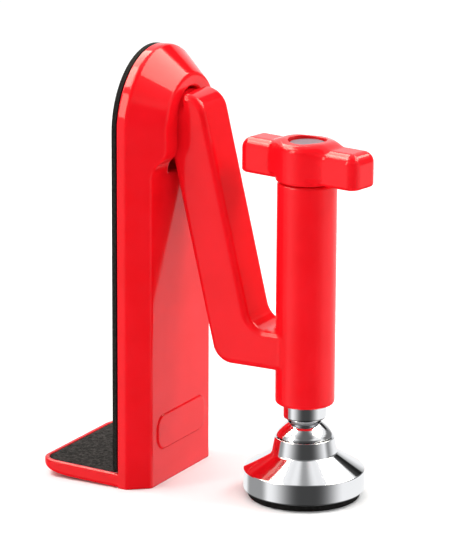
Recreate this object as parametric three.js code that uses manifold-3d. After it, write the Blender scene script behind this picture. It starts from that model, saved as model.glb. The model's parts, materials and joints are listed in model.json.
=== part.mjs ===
// Portable door brace: a cast plate with a toe that slides under a door, and a hinged leg whose screw jack
// presses a ball-jointed foot onto the floor.
// Millimetres. +X points from the door towards the foot, +Y is sideways, +Z is up. All drawing is done with
// x = 0 on the door face of the pad and z = 0 on the floor; the outer group then moves the origin to the
// middle of the footprint.
import * as THREE from 'three';
import { mergeVertices } from 'three/addons/utils/BufferGeometryUtils.js';
import Module from 'manifold-3d';

const wasm = await Module();
wasm.setup();

// ---------------------------------------------------------------- driving dimensions

const GAP = 0.3; // clearance wherever two pieces meet
const BEYOND = 5; // how far a cutting shape runs past what it cuts
const SMALL_ROUND = 24; // sides of a small or hidden round piece
const LARGE_ROUND = 48; // sides of a large one

// plate and hood
const plateBackX = 1.9;
const plateHalfWidth = 25.3;
const archZ = 120.4; // height of the centre of the round top
const edgeFrontX = 5.3; // the plate's square edge ends here and the sloping flank begins
const lowerFrontX = 11.9;
const hoodFrontX = 15.7;
const flankSlope = 0.83; // inset per millimetre forward
const stepBottomZ = 104.6;
const stepTopZ = 116;
const stepSharpness = 0.3; // 0 is a straight ramp, 1 a square ledge

// slot that the arm hangs in
const slotHalfWidth = 8.8;
const slotBackX = 3.6;
const slotBottomZ = 105.5;
const slotArchZ = 124.1;
const archClearance = 0.4; // between the slot's arch and the arm's top, on top of the side gap

// pockets cast into the plate's back to save metal
const coreHalfWidth = 14;
const coreHeights = [[12, 50], [54, 96]];
const coreCorner = 4;
const coreWall = 3.4; // metal left in front of them

// plaque on the lower front
const plaqueHalfWidth = 16.2;
const plaqueHeight = 11.8;
const plaqueZ = 17.8;
const plaqueProud = 0.5;
const plaqueCorner = 4.5;

// toe
const toeTipX = -28.9;
const toeThickness = 4.9;
const toeRise = THREE.MathUtils.degToRad(2);
const toeCornerRadius = 6;
const toeMargin = 1.6; // metal left round the grip pad
const toeRampX = -20.5; // the underside rises from here to the tip
const toeRampRise = 2;
const gripRecess = 1.3;
const gripThickness = 1.1;

// door pad
const doorPadThickness = plateBackX - GAP;
const doorPadBottomZ = 5.5;

// arm
const armThickness = 17;
const armLean = THREE.MathUtils.degToRad(13.6);
const armBackX = 15.8; // back face of the leg at armBackZ
const armBackZ = 98.8;
const armWidth = 15.4; // across the leg, square to it
const armEdgeRadius = 2.2;
const footBarBottomZ = 43.3;
const footBarTopZ = 56.3;
const heelRadius = 6.5;
const crotchRadius = 5;
const knuckleZ = 124.2;
const shoulderRadius = 3; // the knuckle's back corner, inside the slot
const lugRadius = 5.6;

// pivot
const pivotX = 9.6;
const pivotZ = 121;
const pinRadius = 2.5;
const pinHalfLength = 14.6;
const plugEndY = 17.9;
const plugHexRadius = 1.5;
const plugHexDepth = 1.8;
const washerRadius = 4.7;
const washerThickness = 0.9;

// barrel, on the jack's axis
const barrelX = 58.3;
const barrelRadius = 9.8;
const barrelBottomZ = 31.7;
const barrelTopZ = 106.2;
const barrelBoreRadius = 7.45;
const thrustShoulderZ = 94;
const thrustWasherRadius = 7.1;
const thrustWasherThickness = 1.1;
const bushRadius = 6;
const bushFlangeRadius = 7.6;
const bushFlangeZ = 104.3;

// lead screw and knob
const screwRadius = 3.9;
const screwBottomZ = 36;
const screwCollarRadius = 6.6;
const screwCollarHeight = 1.5;
const clipRadius = 4.9;
const clipThickness = 0.6;
const clipGroove = 0.8; // depth of the groove it sits in
const clipMouth = 1.4; // half the width of its opening
const squareHalf = 2.9;
const squareTopZ = 112.6;
const hubRadius = 10.3;
const hubBottomZ = 106.5;
const hubTopZ = 119.6;
const wingLength = 46.9;
const wingWidth = 13;
const wingBottomZ = 107.1;
const wingTopZ = 118.7;
const wingCorner = 3.6;
const wingEdge = 2.4;
const knobYaw = THREE.MathUtils.degToRad(-10); // how far the knob happens to be turned
const capRadius = 6;
const capFloorZ = 117.5;
const capThickness = 1.1;
const knobWasherRadius = 7.5;
const knobWasherThickness = 0.8;
const screwHeadSeatZ = 114.9;
const screwHeadRadius = 3.6;
const screwShankRadius = 2.1;
const screwShankBottomZ = 103;
const screwHexRadius = 1.5;
const screwHexDepth = 1.6;

// jack tube and nut
const tubeRadius = 7.15;
const tubeBoreRadius = 5.2;
const tubeFloorZ = 32; // below this the tube is bored for the stud only
const tubeBottomZ = 26.7;
const tubeTopZ = 75;
const nutRadius = 5.9;
const nutBottomZ = 65.3;
const keyZ = 40;
const keyRadius = 1.5;
const keyHexRadius = 0.8;
const keyHalfWidth = 1.8;
const keyFloorY = 5.9;
const keyBottomZ = 35;
const keyTopZ = 64.5;

// ball joint and foot
const ballZ = 19;
const ballRadius = 6;
const neckRadius = 4.4;
const stemRadius = 3;
const stemTopZ = 31.3;
const linerInner = 6.3;
const linerOuter = 7.2;
const socketRadius = 7.5;
const mouthRadius = 5.2;
const linerLip = 41; // how far above its equator the liner wraps the ball, in degrees
const retainerFloorZ = 18;
const retainerRadius = 8.4;
const domeProfile = [[9.2, 21.4], [8.5, 22.6], [7.2, 23.9], [5.8, 25.2], [5.4, 25.4]];
const domeRadius = 9.35;
const bellTopZ = 20.3;
const bellTopRadius = 9.9;
const bellWaistZ = 15;
const bellWaistRadius = 10.9;
const bandTopZ = 9.3;
const footRadius = 20;
const footPadRadius = 18.5;
const footPadThickness = 4.6;
const bandBottomZ = 2.4;

// ---------------------------------------------------------------- materials

function paint(colour, roughness, metalness) {
  return new THREE.MeshStandardMaterial({ color: colour, roughness, metalness });
}

const redPaint = paint(0xe8141c, 0.2, 0.1);
const blackRubber = paint(0x1c1a19, 0.8, 0);
const gripRubber = paint(0x3a3534, 0.95, 0);
const chrome = paint(0xd6d8dc, 0.08, 1);
const steel = paint(0xa3a6aa, 0.35, 1);
const brass = paint(0xb8923f, 0.35, 1);
const nylon = paint(0xe6e2d8, 0.5, 0);
const greyPlastic = paint(0x84747f, 0.35, 0);

// ---------------------------------------------------------------- solids

const alongX = new THREE.Matrix4().makeBasis(
  new THREE.Vector3(0, 1, 0),
  new THREE.Vector3(0, 0, 1),
  new THREE.Vector3(1, 0, 0),
);

function signedVolume(position, index) {
  const [a, b, c] = [new THREE.Vector3(), new THREE.Vector3(), new THREE.Vector3()];
  let volume = 0;
  for (let i = 0; i < index.length; i += 3) {
    a.fromBufferAttribute(position, index[i]);
    b.fromBufferAttribute(position, index[i + 1]);
    c.fromBufferAttribute(position, index[i + 2]);
    volume += a.dot(b.cross(c)) / 6;
  }
  return volume;
}

// a closed three.js geometry as a manifold solid, with its faces pointing out
function solid(geometry) {
  const bare = geometry.index ? geometry.toNonIndexed() : geometry.clone();
  bare.deleteAttribute('normal');
  bare.deleteAttribute('uv');
  const merged = mergeVertices(bare, 1e-4);
  const source = merged.index.array;
  const kept = [];
  for (let i = 0; i < source.length; i += 3) {
    const [a, b, c] = [source[i], source[i + 1], source[i + 2]];
    if (a !== b && b !== c && c !== a) kept.push(a, b, c);
  }
  if (signedVolume(merged.attributes.position, kept) < 0) kept.reverse();
  const mesh = new wasm.Mesh({
    numProp: 3,
    vertProperties: new Float32Array(merged.attributes.position.array),
    triVerts: new Uint32Array(kept),
  });
  return new wasm.Manifold(mesh);
}

function join(first, ...others) {
  return others.reduce((sum, other) => sum.add(other), first);
}

function cut(first, ...others) {
  return others.reduce((rest, other) => rest.subtract(other), first);
}

// a body of revolution about +Z from [radius, height] points that start and end on the axis or close up
function turned(points, segments = SMALL_ROUND) {
  const profile = points.map(([r, z]) => new THREE.Vector2(r, z));
  return solid(new THREE.LatheGeometry(profile, segments).rotateX(Math.PI / 2));
}

function rod(radius, bottomZ, topZ, segments = SMALL_ROUND) {
  return turned([[0, bottomZ], [radius, bottomZ], [radius, topZ], [0, topZ]], segments);
}

function ring(inner, outer, bottomZ, topZ, segments = SMALL_ROUND) {
  const corners = [[inner, bottomZ], [outer, bottomZ], [outer, topZ], [inner, topZ]];
  return turned([...corners, corners[0]], segments);
}

function arcPoints(radius, centreZ, fromDeg, toDeg, steps) {
  const points = [];
  for (let i = 0; i <= steps; i += 1) {
    const angle = THREE.MathUtils.degToRad(fromDeg + ((toDeg - fromDeg) * i) / steps);
    points.push([radius * Math.cos(angle), centreZ + radius * Math.sin(angle)]);
  }
  return points;
}

function block([x0, x1], [y0, y1], [z0, z1]) {
  const box = new THREE.BoxGeometry(x1 - x0, y1 - y0, z1 - z0);
  return solid(box.translate((x0 + x1) / 2, (y0 + y1) / 2, (z0 + z1) / 2));
}

// a shape drawn in (y, z), run from x0 to x1
function extrudedX(shape, x0, x1, curveSegments = 14) {
  const options = { depth: x1 - x0, bevelEnabled: false, curveSegments };
  const geometry = new THREE.ExtrudeGeometry(shape, options);
  return solid(geometry.applyMatrix4(alongX).translate(x0, 0, 0));
}

// a shape drawn in (x, z), run across y and centred on it, with its side edges rounded
function extrudedY(shape, width, edgeRadius = 0, curveSegments = 12) {
  const options = { depth: width, bevelEnabled: false, curveSegments };
  if (edgeRadius > 0) {
    Object.assign(options, {
      depth: width - 2 * edgeRadius,
      bevelEnabled: true,
      bevelThickness: edgeRadius,
      bevelSize: edgeRadius,
      bevelOffset: -edgeRadius,
      bevelSegments: 2,
    });
  }
  const geometry = new THREE.ExtrudeGeometry(shape, options);
  return solid(geometry.rotateX(Math.PI / 2).translate(0, options.depth / 2, 0));
}

// a shape drawn in (x, y), run from z0 to z1, with its top and bottom edges rounded
function extrudedZ(shape, z0, z1, edgeRadius = 0, curveSegments = 8) {
  const options = { depth: z1 - z0, bevelEnabled: false, curveSegments };
  if (edgeRadius > 0) {
    Object.assign(options, {
      depth: z1 - z0 - 2 * edgeRadius,
      bevelEnabled: true,
      bevelThickness: edgeRadius,
      bevelSize: edgeRadius,
      bevelOffset: -edgeRadius,
      bevelSegments: 2,
    });
  }
  return solid(new THREE.ExtrudeGeometry(shape, options).translate(0, 0, z0 + edgeRadius));
}

function crossRod(radius, x, z, y0, y1, segments = SMALL_ROUND) {
  const geometry = new THREE.CylinderGeometry(radius, radius, y1 - y0, segments);
  return solid(geometry.translate(x, (y0 + y1) / 2, z));
}

function crossRing(inner, outer, x, z, y0, y1) {
  return cut(crossRod(outer, x, z, y0, y1), crossRod(inner, x, z, y0 - 1, y1 + 1));
}

// ---------------------------------------------------------------- outlines

// a tombstone: straight sides up to centreZ, then a half circle
function tombstone(halfWidth, bottomZ, centreZ) {
  const shape = new THREE.Shape();
  shape.moveTo(-halfWidth, bottomZ);
  shape.lineTo(halfWidth, bottomZ);
  shape.lineTo(halfWidth, centreZ);
  shape.absarc(0, centreZ, halfWidth, 0, Math.PI, false);
  shape.closePath();
  return shape;
}

function roundedRectangle(x0, x1, y0, y1, radius) {
  const shape = new THREE.Shape();
  shape.moveTo(x0 + radius, y0);
  shape.absarc(x1 - radius, y0 + radius, radius, -Math.PI / 2, 0, false);
  shape.absarc(x1 - radius, y1 - radius, radius, 0, Math.PI / 2, false);
  shape.absarc(x0 + radius, y1 - radius, radius, Math.PI / 2, Math.PI, false);
  shape.absarc(x0 + radius, y0 + radius, radius, Math.PI, 1.5 * Math.PI, false);
  shape.closePath();
  return shape;
}

// the toe seen from above, inset by margin, with the tip's corners rounded
function toeOutline(margin, endX) {
  const radius = toeCornerRadius - margin;
  const tip = toeTipX + margin;
  const half = plateHalfWidth - margin;
  const shape = new THREE.Shape();
  shape.moveTo(endX, -half);
  shape.lineTo(endX, half);
  shape.absarc(tip + radius, half - radius, radius, Math.PI / 2, Math.PI, false);
  shape.absarc(tip + radius, radius - half, radius, Math.PI, 1.5 * Math.PI, false);
  shape.closePath();
  return shape;
}

// ---------------------------------------------------------------- plate, hood and toe

const toeHinge = new THREE.Matrix4()
  .makeTranslation(plateBackX, 0, 0)
  .multiply(new THREE.Matrix4().makeRotationY(toeRise))
  .multiply(new THREE.Matrix4().makeTranslation(-plateBackX, 0, 0));

function toeSlab(shape, z0, z1) {
  const options = { depth: z1 - z0, bevelEnabled: false, curveSegments: 8 };
  return solid(new THREE.ExtrudeGeometry(shape, options).translate(0, 0, z0).applyMatrix4(toeHinge));
}

// the tombstone plate, drawn in towards the front like a shallow cone
function taperedPlate() {
  const edgeBreak = 0.4;
  const sections = [
    { x: plateBackX, inset: edgeBreak },
    { x: plateBackX + edgeBreak, inset: 0 },
    { x: edgeFrontX, inset: 0 },
    { x: hoodFrontX, inset: flankSlope * (hoodFrontX - edgeFrontX) },
  ];
  const steps = sections.length - 1;
  const options = { depth: steps, steps, bevelEnabled: false, curveSegments: 30 };
  const geometry = new THREE.ExtrudeGeometry(tombstone(plateHalfWidth, 0, archZ), options);
  const position = geometry.attributes.position;
  for (let i = 0; i < position.count; i += 1) {
    const { x, inset } = sections[Math.round(position.getZ(i))];
    const scale = 1 - inset / plateHalfWidth;
    const z = position.getY(i);
    position.setXYZ(i, x, position.getX(i) * scale, z > archZ ? archZ + (z - archZ) * scale : z);
  }
  return solid(geometry);
}

// what is cut away in front of the lower plate, with an S-shaped step up to the hood
function frontRelief() {
  const lift = (stepTopZ - stepBottomZ) * (0.5 + stepSharpness / 2);
  const shape = new THREE.Shape();
  shape.moveTo(lowerFrontX, -BEYOND);
  shape.lineTo(lowerFrontX, stepBottomZ);
  shape.bezierCurveTo(lowerFrontX, stepBottomZ + lift, hoodFrontX, stepTopZ - lift, hoodFrontX, stepTopZ);
  shape.lineTo(hoodFrontX + BEYOND, stepTopZ);
  shape.lineTo(hoodFrontX + BEYOND, -BEYOND);
  shape.closePath();
  return extrudedY(shape, 3 * plateHalfWidth, 0, 8);
}

// what is cut from under the toe's tip, so that it slips below a door
function underTip() {
  const slope = toeRampRise / (toeRampX - toeTipX);
  const shape = new THREE.Shape();
  shape.moveTo(toeRampX, 0);
  shape.lineTo(toeTipX - BEYOND, toeRampRise + slope * BEYOND);
  shape.lineTo(toeTipX - BEYOND, -BEYOND);
  shape.lineTo(toeRampX, -BEYOND);
  shape.closePath();
  return extrudedY(shape, 3 * plateHalfWidth).transform(toeHinge.elements);
}

function makeBodyCasting() {
  const plaqueShape = roundedRectangle(
    -plaqueHalfWidth,
    plaqueHalfWidth,
    plaqueZ - plaqueHeight / 2,
    plaqueZ + plaqueHeight / 2,
    plaqueCorner,
  );
  const plaque = extrudedX(plaqueShape, lowerFrontX - 1, lowerFrontX + plaqueProud, 6);
  const toe = cut(toeSlab(toeOutline(0, plateBackX + 2), 0, toeThickness), underTip());
  const slot = extrudedX(tombstone(slotHalfWidth, slotBottomZ, slotArchZ), slotBackX, hoodFrontX + BEYOND);
  const gripPocket = toeSlab(toeOutline(toeMargin, 0), toeThickness - gripRecess, toeThickness + BEYOND);
  const pinBore = crossRod(pinRadius + GAP, pivotX, pivotZ, -pinHalfLength - GAP, pinHalfLength + 1);
  const plugBore = crossRod(pinRadius + 3 * GAP, pivotX, pivotZ, pinHalfLength + GAP, plateHalfWidth);
  const cores = coreHeights.map(([low, high]) => {
    const outline = roundedRectangle(-coreHalfWidth, coreHalfWidth, low, high, coreCorner);
    return extrudedX(outline, 0, lowerFrontX - coreWall, 4);
  });
  const reach = 3 * plateHalfWidth;
  const underFloor = block([-reach, reach], [-reach, reach], [-BEYOND, 0]);
  return cut(
    join(cut(taperedPlate(), frontRelief()), plaque, toe),
    slot,
    gripPocket,
    pinBore,
    plugBore,
    ...cores,
    underFloor,
  );
}

function makeDoorPad() {
  return extrudedX(tombstone(plateHalfWidth - 0.1, doorPadBottomZ, archZ), 0, doorPadThickness, 30);
}

function makeToeGripPad() {
  const floor = toeThickness - gripRecess + GAP;
  return toeSlab(toeOutline(toeMargin + GAP, -GAP), floor, floor + gripThickness);
}

// ---------------------------------------------------------------- pivot

function makePivotPin() {
  return crossRod(pinRadius, pivotX, pivotZ, -pinHalfLength, pinHalfLength);
}

function makePlugScrew() {
  const body = crossRod(pinRadius + 2 * GAP, pivotX, pivotZ, pinHalfLength + 2 * GAP, plugEndY);
  return cut(body, crossRod(plugHexRadius, pivotX, pivotZ, plugEndY - plugHexDepth, plugEndY + 1, 6));
}

function makePivotWasher(side) {
  const near = armThickness / 2 - washerThickness;
  const far = armThickness / 2;
  const [y0, y1] = side < 0 ? [-far, -near] : [near, far];
  return crossRing(pinRadius + GAP, washerRadius, pivotX, pivotZ, y0, y1);
}

// ---------------------------------------------------------------- arm

// x of the leg's back face at height z, shifted across the leg by a fraction of its width
function legX(z, across = 0) {
  return armBackX + (armBackZ - z) * Math.tan(armLean) + (across * armWidth) / Math.cos(armLean);
}

function legOutline() {
  const down = [Math.sin(armLean), -Math.cos(armLean)];
  const [heelX, heelZ] = [legX(footBarBottomZ), footBarBottomZ];
  const [crotchX, crotchZ] = [legX(footBarTopZ, 1), footBarTopZ];
  const crotchEnd = [crotchX - crotchRadius * down[0], crotchZ - crotchRadius * down[1]];
  const knuckleX = legX(knuckleZ, 0.5);
  const topZ = knuckleZ + armWidth / 2;
  const backX = knuckleX - armWidth / 2;
  const backZ = armBackZ + (armBackX - backX) / Math.tan(armLean);
  const shape = new THREE.Shape();
  shape.moveTo(heelX - heelRadius * down[0], heelZ - heelRadius * down[1]);
  shape.quadraticCurveTo(heelX, heelZ, heelX + heelRadius * 0.7, heelZ);
  shape.lineTo(barrelX, footBarBottomZ);
  shape.lineTo(barrelX, footBarTopZ);
  shape.lineTo(crotchX + crotchRadius, crotchZ);
  shape.quadraticCurveTo(crotchX, crotchZ, ...crotchEnd);
  shape.absarc(knuckleX, knuckleZ, armWidth / 2, armLean, Math.PI / 2, false);
  shape.absarc(backX + shoulderRadius, topZ - shoulderRadius, shoulderRadius, Math.PI / 2, Math.PI, false);
  shape.lineTo(backX, backZ);
  shape.closePath();
  return shape;
}

// space round the arm's top that the hood's arch needs while the arm swings
function hoodClearance() {
  const shoulderX = hoodFrontX + 0.8;
  const startZ = slotArchZ - armThickness / 2;
  const arch = tombstone(armThickness / 2, startZ - BEYOND, slotArchZ - archClearance);
  const allowed = extrudedX(arch, -BEYOND, shoulderX + 1);
  const whole = block([0, shoulderX], [-armThickness, armThickness], [startZ, knuckleZ + armWidth]);
  return cut(whole, allowed);
}

function makeArmCasting() {
  const leg = extrudedY(legOutline(), armThickness, armEdgeRadius, 8);
  const lug = crossRod(lugRadius, pivotX, pivotZ, -armThickness / 2, armThickness / 2);
  const barrel = turned([
    [0, barrelBottomZ],
    [barrelRadius - 1.2, barrelBottomZ],
    [barrelRadius - 0.35, barrelBottomZ + 0.35],
    [barrelRadius, barrelBottomZ + 1.2],
    [barrelRadius, barrelTopZ - 0.8],
    [barrelRadius - 0.8, barrelTopZ],
    [0, barrelTopZ],
  ], LARGE_ROUND);
  const washerRecess = (side) => {
    const near = armThickness / 2 - washerThickness - GAP;
    const [y0, y1] = side < 0 ? [-armThickness, -near] : [near, armThickness];
    return crossRod(washerRadius + GAP, pivotX, pivotZ, y0, y1);
  };
  const mainBore = rod(barrelBoreRadius, 0, thrustShoulderZ);
  const bushBore = rod(bushRadius + GAP, thrustShoulderZ - 1, barrelTopZ + 1);
  const flangeSeat = rod(bushFlangeRadius + GAP, bushFlangeZ - GAP, barrelTopZ + 1);
  const keyHole = crossRod(keyRadius + GAP, 0, keyZ, barrelRadius / 2, barrelRadius + 1);
  const onAxis = (shape) => shape.translate([barrelX, 0, 0]);
  const hinge = cut(join(leg, lug), hoodClearance());
  return cut(
    join(hinge, onAxis(barrel)),
    crossRod(pinRadius + GAP, pivotX, pivotZ, -armThickness, armThickness),
    washerRecess(-1),
    washerRecess(1),
    onAxis(mainBore),
    onAxis(bushBore),
    onAxis(flangeSeat),
    onAxis(keyHole),
  );
}

// ---------------------------------------------------------------- on the jack's axis

function makeGuideBush() {
  const sleeve = ring(screwRadius + GAP, bushRadius, thrustShoulderZ + GAP, bushFlangeZ + 0.5);
  return join(sleeve, ring(screwRadius + GAP, bushFlangeRadius, bushFlangeZ, barrelTopZ - 0.2));
}

function makeThrustWasher() {
  const top = thrustShoulderZ - GAP;
  return ring(screwRadius + GAP, thrustWasherRadius, top - thrustWasherThickness, top);
}

function makeKeyScrew() {
  const start = keyFloorY + GAP;
  const end = barrelRadius - 0.5;
  return cut(crossRod(keyRadius, 0, keyZ, start, end), crossRod(keyHexRadius, 0, keyZ, end - 1, end + 1, 6));
}

function makeLeadScrew() {
  const collarTop = thrustShoulderZ - thrustWasherThickness - 2 * GAP;
  const grooveRadius = screwRadius - clipGroove;
  const grooveZ = screwBottomZ + 1.2;
  const grooveTop = grooveZ + clipThickness + 2 * GAP;
  const shaft = turned([
    [0, screwBottomZ],
    [screwRadius - 0.6, screwBottomZ],
    [screwRadius, screwBottomZ + 0.6],
    [screwRadius, grooveZ],
    [grooveRadius, grooveZ],
    [grooveRadius, grooveTop],
    [screwRadius, grooveTop],
    [screwRadius, collarTop - screwCollarHeight],
    [screwCollarRadius, collarTop - screwCollarHeight],
    [screwCollarRadius, collarTop],
    [screwRadius, collarTop],
    [screwRadius, hubBottomZ],
    [0, hubBottomZ],
  ]);
  const drive = block([-squareHalf, squareHalf], [-squareHalf, squareHalf], [hubBottomZ - 1, squareTopZ]);
  return cut(join(shaft, drive), rod(screwShankRadius + GAP, screwShankBottomZ - 0.5, squareTopZ + 1));
}

function makeScrewStopClip() {
  const bottom = screwBottomZ + 1.2 + GAP;
  const top = bottom + clipThickness;
  const clip = ring(screwRadius - clipGroove + GAP, clipRadius, bottom, top);
  return cut(clip, block([0, clipRadius + 1], [-clipMouth, clipMouth], [bottom - 1, top + 1]));
}

function makeKnob() {
  const half = wingLength / 2;
  const plan = roundedRectangle(-half, half, -wingWidth / 2, wingWidth / 2, wingCorner);
  const wings = extrudedZ(plan, wingBottomZ, wingTopZ, wingEdge, 5);
  const hub = turned([
    [0, hubBottomZ],
    [hubRadius - 0.7, hubBottomZ],
    [hubRadius - 0.1, hubBottomZ + 0.7],
    [hubRadius, wingBottomZ],
    [hubRadius, hubTopZ - 2.9],
    [hubRadius - 0.7, hubTopZ - 1.3],
    [hubRadius - 2.4, hubTopZ],
    [0, hubTopZ],
  ], LARGE_ROUND);
  const drive = squareHalf + GAP;
  return cut(
    join(wings, hub),
    rod(capRadius + GAP, capFloorZ, hubTopZ + 1, LARGE_ROUND),
    rod(screwHeadRadius + GAP, screwHeadSeatZ, hubTopZ + 1),
    rod(screwShankRadius + GAP, squareTopZ - 1, hubTopZ + 1),
    rod(knobWasherRadius + GAP, hubBottomZ - 1, hubBottomZ + knobWasherThickness + GAP),
    block([-drive, drive], [-drive, drive], [hubBottomZ - 1, squareTopZ + 0.6]),
  );
}

function makeKnobWasher() {
  return ring(screwRadius + 0.5, knobWasherRadius, hubBottomZ, hubBottomZ + knobWasherThickness);
}

function makeKnobScrew() {
  const seat = screwHeadSeatZ + GAP;
  const shank = rod(screwShankRadius, screwShankBottomZ, seat + 1);
  const head = rod(screwHeadRadius, seat, capFloorZ);
  return cut(join(shank, head), rod(screwHexRadius, capFloorZ - screwHexDepth, capFloorZ + 1, 6));
}

function makeKnobCap() {
  const z = capFloorZ + GAP;
  const top = z + capThickness;
  const rim = [[capRadius, z], [capRadius, top - 0.3], [capRadius - 0.3, top]];
  return turned([[0, z], ...rim, [0, top]], LARGE_ROUND);
}

function makeJackTube() {
  const tube = turned([
    [0, tubeBottomZ],
    [tubeRadius - 1, tubeBottomZ],
    [tubeRadius - 0.3, tubeBottomZ + 0.3],
    [tubeRadius, tubeBottomZ + 1],
    [tubeRadius, tubeTopZ],
    [0, tubeTopZ],
  ], LARGE_ROUND);
  return cut(
    tube,
    rod(stemRadius + GAP, 0, tubeFloorZ + 1),
    rod(tubeBoreRadius, tubeFloorZ, tubeTopZ + 1),
    rod(nutRadius + GAP, nutBottomZ - GAP, tubeTopZ + 1),
    block([-keyHalfWidth, keyHalfWidth], [keyFloorY, tubeRadius + 1], [keyBottomZ, keyTopZ]),
  );
}

function makeJackNut() {
  return ring(screwRadius + GAP, nutRadius, nutBottomZ, tubeTopZ - 0.2);
}

// ---------------------------------------------------------------- ball joint and foot

function makeBallStud() {
  const neckStart = THREE.MathUtils.radToDeg(Math.acos(neckRadius / ballRadius));
  return turned([
    ...arcPoints(ballRadius, ballZ, -90, neckStart, 8),
    [neckRadius, tubeBottomZ - GAP],
    [stemRadius, tubeBottomZ - GAP],
    [stemRadius, stemTopZ],
    [0, stemTopZ],
  ]);
}

function makeBallSeat() {
  return turned([
    ...arcPoints(linerOuter, ballZ, -90, linerLip, 9),
    ...arcPoints(linerInner, ballZ, linerLip, -90, 9),
  ]);
}

function makeSeatRetainer() {
  const bottomZ = retainerFloorZ + GAP;
  const flangeZ = bellTopZ + GAP;
  const lipDeg = THREE.MathUtils.radToDeg(Math.acos(mouthRadius / socketRadius));
  const lowDeg = THREE.MathUtils.radToDeg(Math.asin((bottomZ - ballZ) / socketRadius));
  const inside = arcPoints(socketRadius, ballZ, lipDeg, lowDeg, 4);
  return turned([
    ...inside,
    [retainerRadius, bottomZ],
    [retainerRadius, flangeZ],
    [domeRadius, flangeZ],
    ...domeProfile,
    inside[0],
  ], LARGE_ROUND);
}

function makeFootBase() {
  const outside = turned([
    [0, bandBottomZ],
    [footRadius - 0.4, bandBottomZ],
    [footRadius, bandBottomZ + 0.4],
    [footRadius, bandTopZ - 0.2],
    [footRadius - 0.3, bandTopZ],
    [bellWaistRadius, bellWaistZ],
    [bellTopRadius, bellTopZ],
    [0, bellTopZ],
  ], LARGE_ROUND);
  const socket = turned([...arcPoints(socketRadius, ballZ, -90, 0, 7), [0, ballZ]]);
  return cut(
    outside,
    socket,
    rod(retainerRadius + GAP, retainerFloorZ, bellTopZ + 1, LARGE_ROUND),
    rod(footPadRadius + GAP, 0, footPadThickness + GAP, LARGE_ROUND),
  );
}

function makeFootPad() {
  return turned([
    [0, 0],
    [footPadRadius - 0.5, 0],
    [footPadRadius, 0.5],
    [footPadRadius, footPadThickness],
    [0, footPadThickness],
  ], LARGE_ROUND);
}

// ---------------------------------------------------------------- assembly

function piece(name, shape, material) {
  const { vertProperties, triVerts } = shape.getMesh();
  const geometry = new THREE.BufferGeometry();
  geometry.setAttribute('position', new THREE.BufferAttribute(new Float32Array(vertProperties), 3));
  geometry.setIndex(new THREE.BufferAttribute(new Uint32Array(triVerts), 1));
  geometry.computeVertexNormals();
  const mesh = new THREE.Mesh(geometry, material);
  mesh.name = name;
  return mesh;
}

const stand = new THREE.Group();
stand.add(
  piece('body_casting', makeBodyCasting(), redPaint),
  piece('door_pad', makeDoorPad(), blackRubber),
  piece('toe_grip_pad', makeToeGripPad(), gripRubber),
  piece('pivot_pin', makePivotPin(), steel),
  piece('pin_plug_screw', makePlugScrew(), steel),
);

const arm = new THREE.Group();
arm.add(
  piece('arm_casting', makeArmCasting(), redPaint),
  piece('pivot_washer', makePivotWasher(-1), nylon),
  piece('pivot_spring_washer', makePivotWasher(1), steel),
);

const turning = new THREE.Group();
turning.rotation.z = knobYaw;
turning.add(
  piece('lead_screw', makeLeadScrew(), steel),
  piece('screw_stop_clip', makeScrewStopClip(), steel),
  piece('knob', makeKnob(), redPaint),
  piece('knob_washer', makeKnobWasher(), nylon),
  piece('knob_screw', makeKnobScrew(), steel),
  piece('knob_cap', makeKnobCap(), greyPlastic),
);

const jack = new THREE.Group();
jack.position.x = barrelX;
jack.add(
  turning,
  piece('guide_bush', makeGuideBush(), brass),
  piece('thrust_washer', makeThrustWasher(), steel),
  piece('key_screw', makeKeyScrew(), steel),
  piece('jack_tube', makeJackTube(), chrome),
  piece('jack_nut', makeJackNut(), brass),
  piece('ball_stud', makeBallStud(), chrome),
  piece('ball_seat', makeBallSeat(), nylon),
  piece('seat_retainer', makeSeatRetainer(), chrome),
  piece('foot_base', makeFootBase(), chrome),
  piece('foot_pad', makeFootPad(), blackRubber),
);
arm.add(jack);

const brace = new THREE.Group();
brace.add(stand, arm);
const box = new THREE.Box3().setFromObject(brace, true);
brace.position.x = -(box.min.x + box.max.x) / 2;
brace.updateMatrixWorld(true);

export default brace;
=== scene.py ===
"""The looks of a portable door brace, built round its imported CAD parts.

Pieces are shaped in millimetres, with x = 0 on the face of the door pad, y = 0 in the middle of the plate and
z = 0 on the floor. to_metres() moves them into the row's frame.
"""

import json
import math

import bpy
import numpy as np
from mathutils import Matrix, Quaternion, Vector


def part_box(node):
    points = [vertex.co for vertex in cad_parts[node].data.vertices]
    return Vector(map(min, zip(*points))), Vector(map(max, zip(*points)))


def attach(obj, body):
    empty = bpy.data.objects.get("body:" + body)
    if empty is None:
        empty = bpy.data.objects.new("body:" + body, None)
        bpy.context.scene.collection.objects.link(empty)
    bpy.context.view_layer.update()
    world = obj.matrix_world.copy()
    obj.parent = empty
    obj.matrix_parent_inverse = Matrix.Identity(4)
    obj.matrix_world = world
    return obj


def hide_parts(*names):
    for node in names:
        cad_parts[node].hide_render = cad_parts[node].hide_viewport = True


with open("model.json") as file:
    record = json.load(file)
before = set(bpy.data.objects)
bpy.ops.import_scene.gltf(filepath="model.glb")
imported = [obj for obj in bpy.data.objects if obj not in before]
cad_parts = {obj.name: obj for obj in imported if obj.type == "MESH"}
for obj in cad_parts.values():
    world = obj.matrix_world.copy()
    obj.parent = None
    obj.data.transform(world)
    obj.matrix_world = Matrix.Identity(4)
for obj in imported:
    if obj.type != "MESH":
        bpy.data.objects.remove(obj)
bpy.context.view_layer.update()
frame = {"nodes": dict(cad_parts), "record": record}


def middle(node):
    low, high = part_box(node)
    return (low + high) / 2


DOOR_FACE_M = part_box("door_pad")[0].x
JACK_X = (middle("foot_base").x - DOOR_FACE_M) * 1000

# ------------------------------------------------------------------ sizes in millimetres

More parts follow.
